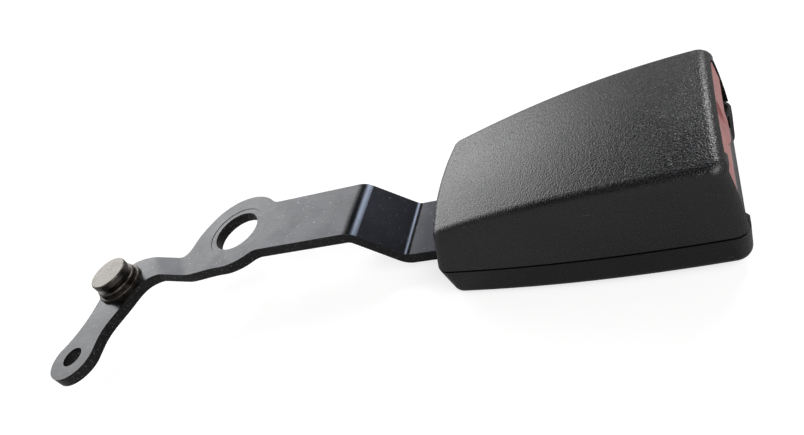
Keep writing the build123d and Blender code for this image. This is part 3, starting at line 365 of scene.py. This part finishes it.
def painted_dark_reflection(g, face, dust, dark_reflection_and_shade):
    """The face's colour with painted reflection where it looks forward, a darker bluish tint for
    the dark head it mirrors, and painted shade by the cover.
    """
    forward = g.parts(g.normal)[0]
    # Painted reflection: faces that lean forward take a darker bluish tint, for the dark head they
    # mirror.
    face = g.mix(g.fade(forward, LEAN_SPAN), face, LEAN_REFLECTION_TINT)
    # Painted reflection on the ramp and painted shade from a little before the cover onwards, in
    # the darkest colour, with dust over it.
    near_head = g.math("MULTIPLY", g.fade(g.parts(g.place)[0], HEAD_SPAN), HEAD_SHARE)
    share = g.math("MAXIMUM", g.fade(forward, RAMP_SPAN), near_head)
    return g.mix(share, face, g.mix(dust, dark_reflection_and_shade, DUST_ON_PAINTED_SHADE))


def coined_rings(g, face, relief, inner, outer, pitch):
    """The face's colour and relief with broken rings pressed round the frame's z axis."""
    radius = g.radius_from((0.0, 0.0))
    wobble = g.math("MULTIPLY", g.noise(g.place, WOBBLE_SCALE, detail=2.0), WOBBLE_SIZE)
    rings = g.math("SINE", g.math("MULTIPLY", g.math("ADD", radius, wobble), FULL_TURN / pitch))
    start = g.fade(radius, (inner + COIN_START[0], inner + COIN_START[1]))
    end = g.fade(radius, (outer + COIN_END[0], outer + COIN_END[1]), FALLING)
    gaps = g.fade(g.noise(g.place, COIN_GAP_SCALE, detail=2.0), COIN_GAP_SPAN)
    broken = g.math("MULTIPLY", g.math("MULTIPLY", start, end), gaps)
    crest = g.math("MULTIPLY", g.fade(rings, CREST_SPAN), broken)
    face = g.mix(g.math("MULTIPLY", crest, CREST_SHARE), face, CREST_COLOUR)
    return face, g.bump(g.math("MULTIPLY", rings, broken), COIN_HIGH, under=relief)


def rolled_steel(name, colour, dark, rough, edge_colour, streak, edge_rough=0.40, coined=None,
                 dark_reflection_and_shade=None):
    """Satin sheet steel with darker torn cut edges, stains and dust.

    The streak is the stretch of its drawn lines. Coined holds the inner radius, outer radius
    and pitch of pressed rings in mm, and the last colour is that of the painted dark reflection
    and shade.
    """
    g = Surface(name)
    edge = g.fade(g.math("ABSOLUTE", g.parts(g.normal)[2]), EDGE_SPAN, FALLING)
    cloud = g.noise(g.place, CLOUD_SCALE, detail=4.0, roughness=0.55)
    fine = g.noise(g.place, FINE_SCALE, roughness=0.6)
    drawn = g.noise(g.stretch(g.place, streak), roughness=0.6)
    tint = g.weigh(cloud, CLOUD_SHARE, drawn, DRAWN_SHARE)
    face = g.mix(g.fade(tint, TINT_SPAN), dark, colour)
    stain = g.fade(g.noise(g.place, STAIN_SCALE, detail=5.0, roughness=0.7), STAIN_SPAN)
    face = g.mix(g.math("MULTIPLY", stain, STAIN_SHARE), face, dark)
    dust_gate = g.fade(g.noise(g.place, DUST_GATE_SCALE, detail=2.0), DUST_GATE_SPAN)
    dust = g.fade(g.cells(g.place, DUST_SCALE), DUST_SPAN, FALLING)
    dust = g.math("MULTIPLY", dust, dust_gate)
    face = g.mix(g.math("MULTIPLY", dust, DUST_SHARE), face, STEEL_DUST)
    # Painted reflection and shade on the faces that lean forward and by the cover.
    if dark_reflection_and_shade is not None:
        face = painted_dark_reflection(g, face, dust, dark_reflection_and_shade)

    torn = g.noise(g.place, TORN_SCALE, detail=4.0, roughness=0.6)
    flecks = g.noise(g.stretch(g.place, FLECK_STRETCH), FLECK_SCALE, roughness=0.7)
    edge_face = g.mix(g.fade(torn, TORN_SPAN), edge_colour, dark)
    edge_face = g.mix(g.fade(flecks, FLECK_SPAN), edge_face, FLECK_COLOUR)

    face_rough = g.fade(g.math("ADD", cloud, g.math("MULTIPLY", fine, FINE_SHARE)),
                        SHEET_ROUGH_SPAN, (rough - SHEET_LESS, rough + SHEET_MORE))
    drawn_lines = g.math("MULTIPLY", drawn, SHEET_DRAWN_SHARE)
    relief = g.bump(g.math("ADD", fine, drawn_lines), SHEET_HIGH)
    relief = g.bump(g.math("MULTIPLY", torn, edge), TORN_HIGH, under=relief)
    if coined is not None:
        face, relief = coined_rings(g, face, relief, *coined)
    g.give("Base Color", g.mix(edge, face, edge_face))
    g.give("Metallic", 1.0)
    g.give("Roughness", g.between(edge, face_rough, edge_rough))
    g.give("Normal", relief)
    return g.material


def turned_steel(name, colour, dark, rough, centre, stains=0.5, rugged=0.006 * MM):
    """Turned steel with fine rings about a vertical axis and brown handling stains."""
    g = Surface(name)
    radius = g.radius_from(centre)
    rings = g.math("SINE", g.math("MULTIPLY", radius, FULL_TURN / RING_PITCH))
    stack = g.noise(g.stretch(g.place, STACK_STRETCH), detail=2.0)
    cloud = g.noise(g.place, HANDLED_SCALE, detail=4.0, roughness=0.6)
    spot = g.noise(g.place, SPOT_SCALE, roughness=0.7)
    face = g.mix(g.fade(cloud, HANDLED_SPAN), dark, colour)
    stain = g.fade(g.weigh(spot, SPOT_SHARES[0], cloud, SPOT_SHARES[1]), SPOT_SPAN)
    g.give("Base Color", g.mix(g.math("MULTIPLY", stain, stains), face, dark))
    g.give("Metallic", 1.0)
    g.give("Roughness", g.fade(cloud, TURNED_ROUGH_SPAN,
                               (rough - TURNED_LESS, rough + TURNED_MORE)))
    height = g.math("ADD", g.weigh(rings, RING_SHARE, stack, STACK_SHARE), spot)
    g.give("Normal", g.bump(height, rugged))
    return g.material


def bright_wire(name, colour, rough):
    """Drawn spring wire with slight heat tint."""
    g = Surface(name)
    cloud = g.noise(g.place, HEAT_SCALE)
    warm = tuple(channel * tint for channel, tint in zip(colour, HEAT_TINT))
    g.give("Base Color", g.mix(g.fade(cloud, HEAT_SPAN), (*colour, 1.0), (*warm, 1.0)))
    g.give("Metallic", 1.0)
    g.give("Roughness", g.fade(cloud, WIRE_ROUGH_SPAN, (rough - WIRE_LESS, rough + WIRE_MORE)))
    g.give("Normal", g.bump(g.noise(g.place, WIRE_SCALE, detail=2.0), WIRE_HIGH))
    return g.material


def felt(name, colour):
    """Pressed felt: matted fibres in two directions."""
    g = Surface(name)
    one, other = (g.noise(g.stretch(g.place, *layer)) for layer in FIBRE_LAYERS)
    fibres = g.math("MAXIMUM", one, other)
    pale = tuple(FIBRE_PALE * channel for channel in colour)
    g.give("Base Color", g.mix(g.fade(fibres, FIBRE_SPAN), (*colour, 1.0), (*pale, 1.0)))
    g.give("Roughness", FELT_ROUGH)
    g.give("Sheen Weight", FELT_SHEEN)
    g.give("Normal", g.bump(fibres, FIBRE_HIGH))
    return g.material


# --------------------------------------------------------------------- materials
# The anchor stud's axis in mm.
STUD_CENTRE = (-32.8, -15.1)

# The cover's pale peaks on its roof are painted glints of the grain.
cover = moulded_plastic(
    "cover_plastic", colour=(0.0045, 0.0047, 0.0052, 1), pale=(0.0065, 0.0067, 0.0073, 1),
    rough=0.25, grain=0.27, grain_high=0.075 * MM, specular=0.52, glint_colour=(0.038, 0.040, 0.046, 1))
under = moulded_plastic(
    "under_plastic", colour=(0.004, 0.0042, 0.0047, 1), pale=(0.0055, 0.0057, 0.0063, 1),
    rough=0.30, grain=0.27, grain_high=0.035 * MM, specular=0.30)
# The button's deeper colour on sideways faces is painted shade for its dish.
button = moulded_plastic(
    "button_plastic", colour=(0.36, 0.135, 0.127, 1), pale=(0.43, 0.17, 0.16, 1),
    rough=0.40, grain=0.30, grain_high=0.012 * MM, wear=0.15, painted_shade=(0.20, 0.030, 0.027, 1))
guide = moulded_plastic(
    "guide_plastic", colour=(0.010, 0.010, 0.011, 1), pale=(0.016, 0.016, 0.017, 1),
    rough=0.40, grain=0.4, grain_high=0.015 * MM)
acetal = moulded_plastic(
    "ejector_plastic", colour=(0.62, 0.61, 0.57, 1), pale=(0.68, 0.67, 0.63, 1),
    rough=0.38, grain=0.6, grain_high=0.008 * MM, wear=0.1)
# The strap's last colour is the painted dark reflection on its ramp and painted shade by the
# cover.
strap = rolled_steel(
    "strap_steel", colour=(0.062, 0.063, 0.0665, 1), dark=(0.041, 0.042, 0.045, 1),
    rough=0.22, edge_colour=(0.034, 0.033, 0.033, 1), streak=(0.20, 2.2, 2.2),
    coined=(6.9, 10.2, 0.62), dark_reflection_and_shade=(0.027, 0.028, 0.035, 1))
pressing = rolled_steel(
    "frame_steel", colour=(0.20, 0.20, 0.205, 1), dark=(0.14, 0.14, 0.145, 1),
    rough=0.30, edge_colour=(0.09, 0.09, 0.09, 1), streak=(0.2, 2.5, 2.5), edge_rough=0.45)
stud = turned_steel(
    "stud_steel", colour=(0.122, 0.114, 0.103, 1), dark=(0.078, 0.071, 0.062, 1),
    rough=0.24, centre=STUD_CENTRE)
washer = turned_steel(
    "washer_steel", colour=(0.13, 0.115, 0.10, 1), dark=(0.028, 0.024, 0.021, 1),
    rough=0.34, centre=STUD_CENTRE, stains=0.8, rugged=0.025 * MM)
pin_steel = turned_steel(
    "pin_steel", colour=(0.42, 0.42, 0.42, 1), dark=(0.28, 0.28, 0.28, 1),
    rough=0.25, centre=(0.0, 0.0))
wire = bright_wire("spring_steel", colour=(0.60, 0.60, 0.60), rough=0.22)
pad = felt("felt", colour=(0.012, 0.012, 0.012))

FINISHES = {
    "anchor_strap": strap,
    "anchor_stud": stud,
    "stud_collar": washer,
    "stud_washer": washer,
    "upper_cover": cover,
    "lower_cover": under,
    "buckle_frame": pressing,
    "frame_rivet_left": pin_steel,
    "frame_rivet_right": pin_steel,
    "latch": pressing,
    "latch_pin": pin_steel,
    "pin_clip_left": wire,
    "pin_clip_right": wire,
    "latch_spring": wire,
    "lock_bar": pin_steel,
    "spring_plate": pressing,
    "release_button": button,
    "button_spring_left": wire,
    "button_spring_right": wire,
    "ejector": acetal,
    "ejector_spring": wire,
    "tongue_guide": guide,
    "damping_pad": pad,
}
for node, finish in FINISHES.items():
    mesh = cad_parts[node].data
    mesh.materials.clear()
    mesh.materials.append(finish)


# -------------------------------------------------------------- copies that move
def stand_in(node, name):
    """A copy of a CAD node, shown in its place."""
    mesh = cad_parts[node].data.copy()
    mesh.name = name
    piece = bpy.data.objects.new(name, mesh)
    bpy.context.scene.collection.objects.link(piece)
    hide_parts(node)
    return piece


def held(value):
    """A share kept between nothing and all."""
    return min(max(value, 0.0), 1.0)


def button_drawn_forward():
    """The button with its face nearer the rim.

    The face moves as one plane above its crease, and its lower strip leans back to the old edge.
    """
    piece = stand_in("release_button", "button_face")
    points = [vertex.co for vertex in piece.data.vertices]
    front = max(point.x for point in points)
    foot = min(point.z for point in points)
    start, end = front - FRONT_DEPTH[0], front - FRONT_DEPTH[1]
    for point in points:
        face = FACE_FRONT - FACE_SLOPE * max(point.z - FACE_CREASE, 0.0)
        proud = max(point.x - face, 0.0)
        shift = FACE_FORWARD * held((point.z - foot) / (FACE_CREASE - foot))
        point.x += shift * held((point.x - start) / (end - start)) - proud * (1.0 - LIP_KEPT)
    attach(piece, "button")


def pressed_spring(node, name):
    """A copy of a spring, attached to the housing with a mesh of its own."""
    piece = stand_in(node, name)
    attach(piece, "housing")
    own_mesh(piece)


def tilting_latch_spring():
    """A copy of the latch spring, with its placing baked into its mesh."""
    piece = stand_in("latch_spring", "latch_coil")
    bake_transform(piece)


button_drawn_forward()
pressed_spring("button_spring_left", "button_coil_left")
pressed_spring("button_spring_right", "button_coil_right")
pressed_spring("ejector_spring", "ejector_coil")
tilting_latch_spring()


# ------------------------------------------------------------------- floor, light
def floor_material():
    """Pale matt floor that also glows a little for the camera, so that it reads white."""
    material = bpy.data.materials.new("floor")
    g = Graph(material)
    diffuse = g.add("ShaderNodeBsdfDiffuse")
    diffuse.inputs["Color"].default_value = (*FLOOR_COLOUR, 1.0)
    glow = g.add("ShaderNodeEmission")
    g.link(g.math("MULTIPLY", g.seen_directly(), FLOOR_GLOW), glow.inputs["Strength"])
    total = g.add("ShaderNodeAddShader")
    g.link(diffuse.outputs[0], total.inputs[0])
    g.link(glow.outputs[0], total.inputs[1])
    output = g.add("ShaderNodeOutputMaterial")
    g.link(total.outputs[0], output.inputs[0])
    return material


def lay_floor():
    """A wide level sheet just under the part."""
    height = cad_low.z - FLOOR_GAP
    corners = [(x * FLOOR_SPAN, y * FLOOR_SPAN, height)
               for x, y in ((-1, -1), (1, -1), (1, 1), (-1, 1))]
    mesh = bpy.data.meshes.new("floor")
    mesh.from_pydata(corners, [], [(0, 1, 2, 3)])
    mesh.materials.append(floor_material())
    sheet = bpy.data.objects.new("floor", mesh)
    bpy.context.scene.collection.objects.link(sheet)


def studio_world():
    """Light that dims overhead, with two soft windows; the camera itself sees plain white."""
    world = bpy.data.worlds.new("studio")
    g = Graph(world)
    towards = g.add("ShaderNodeTexCoord").outputs["Generated"]
    light = g.fade(g.parts(towards)[2], CEILING_SPAN, (HORIZON_LIGHT, CEILING_LIGHT))
    for brightness, direction, span in WINDOWS:
        facing = g.add("ShaderNodeVectorMath", operation="DOT_PRODUCT")
        g.link(towards, facing.inputs[0])
        facing.inputs[1].default_value = direction
        light = g.math("ADD", light, g.fade(facing.outputs["Value"], span, (0.0, brightness)))
    background = g.add("ShaderNodeBackground")
    background.inputs["Color"].default_value = SURROUND_COLOUR
    g.link(g.between(g.seen_directly(), light, SURROUND_SEEN), background.inputs["Strength"])
    output = g.add("ShaderNodeOutputWorld")
    g.link(background.outputs[0], output.inputs[0])
    return world


def hang_key_light():
    """One large soft light above and behind the camera."""
    light = bpy.data.lights.new("key", "AREA")
    light.shape = "RECTANGLE"
    light.size = light.size_y = KEY_SIZE
    light.energy = KEY_POWER
    light.color = KEY_COLOUR
    lamp = bpy.data.objects.new("key", light)
    lamp.location = KEY_PLACE
    lamp.rotation_mode = "QUATERNION"
    lamp.rotation_quaternion = (Vector(KEY_AIM) - Vector(KEY_PLACE)).to_track_quat("-Z", "Y")
    bpy.context.scene.collection.objects.link(lamp)


def place_camera():
    """The photo's camera."""
    camera_data = bpy.data.cameras.new("camera")
    camera_data.sensor_width = CAMERA_SENSOR
    camera_data.lens = CAMERA_LENS
    camera_data.clip_start, camera_data.clip_end = CAMERA_CLIP
    camera = bpy.data.objects.new("camera", camera_data)
    turn = Matrix((CAMERA_RIGHT, CAMERA_UP, CAMERA_BACK)).transposed()
    camera.matrix_world = Matrix.Translation(CAMERA_PLACE) @ turn.to_4x4()
    bpy.context.scene.collection.objects.link(camera)
    bpy.context.scene.camera = camera


lay_floor()
bpy.context.scene.world = studio_world()
hang_key_light()
place_camera()
bpy.context.scene.view_settings.view_transform = "Standard"
